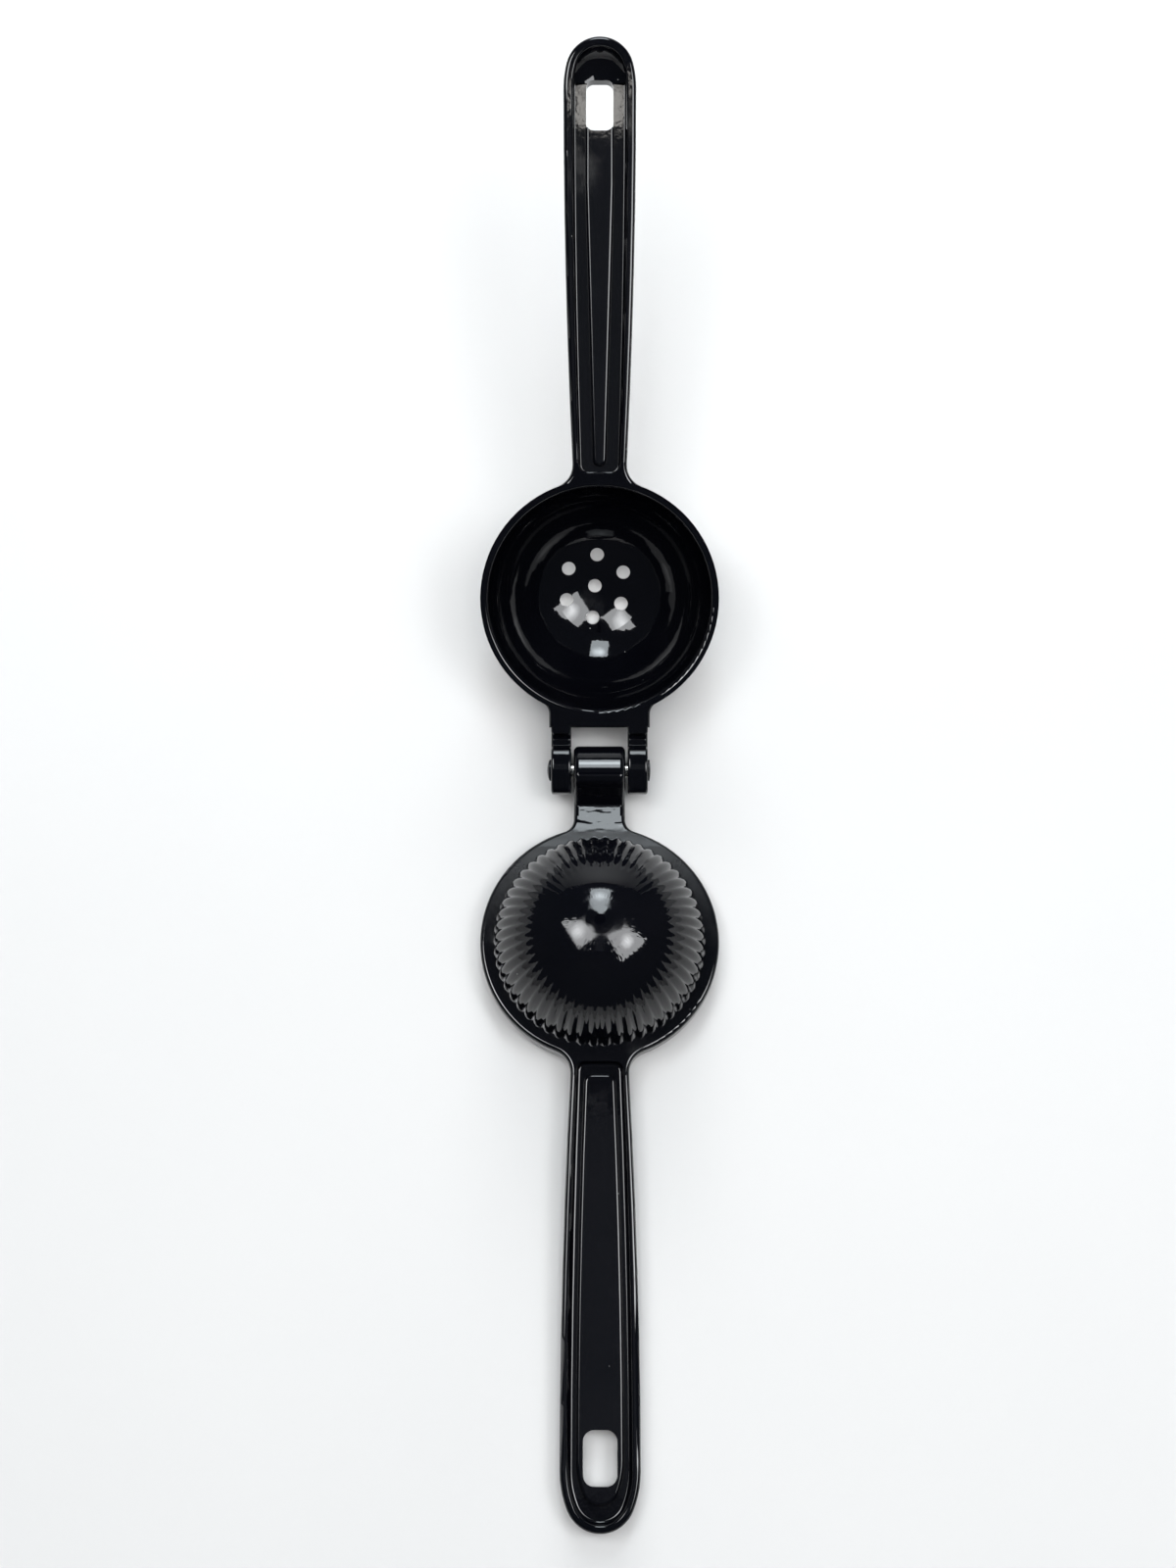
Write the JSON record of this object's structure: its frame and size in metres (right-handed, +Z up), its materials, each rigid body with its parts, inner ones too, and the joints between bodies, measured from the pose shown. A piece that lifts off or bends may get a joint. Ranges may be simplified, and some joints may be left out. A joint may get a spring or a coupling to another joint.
{
  "type": "hinged lemon squeezer",
  "caption": "Hand lemon squeezer: a fluted dome on one lever hinges over a drained bowl on the other, with channelled handles that end in hang holes.",
  "frame": {"origin": "on the table under the middle of the squeezer as it lies open, tip to tip", "axes": "+Y along the squeezer towards the tip of the cup's handle, +Z up, +X to the right with the cup's handle pointing away"},
  "size_m": [0.07, 0.4176, 0.0911],
  "materials": {
    "black_enamel": "high-gloss black enamel over cast aluminium, softened at every edge",
    "bare_steel": "bare bright steel"
  },
  "bodies": {
    "cup_side": {"cup_lever": "black_enamel", "hinge_pin": "bare_steel", "pin_washer": "bare_steel"},
    "press_side": {"press_lever": "black_enamel"}
  },
  "joints": [
    {"name": "squeeze_hinge", "type": "hinge", "parent": "cup_side", "child": "press_side", "pos_m": [0, 0.00967, 0.01147], "axis": [-1, 0, 0], "range_deg": [0, 154]}
  ]
}
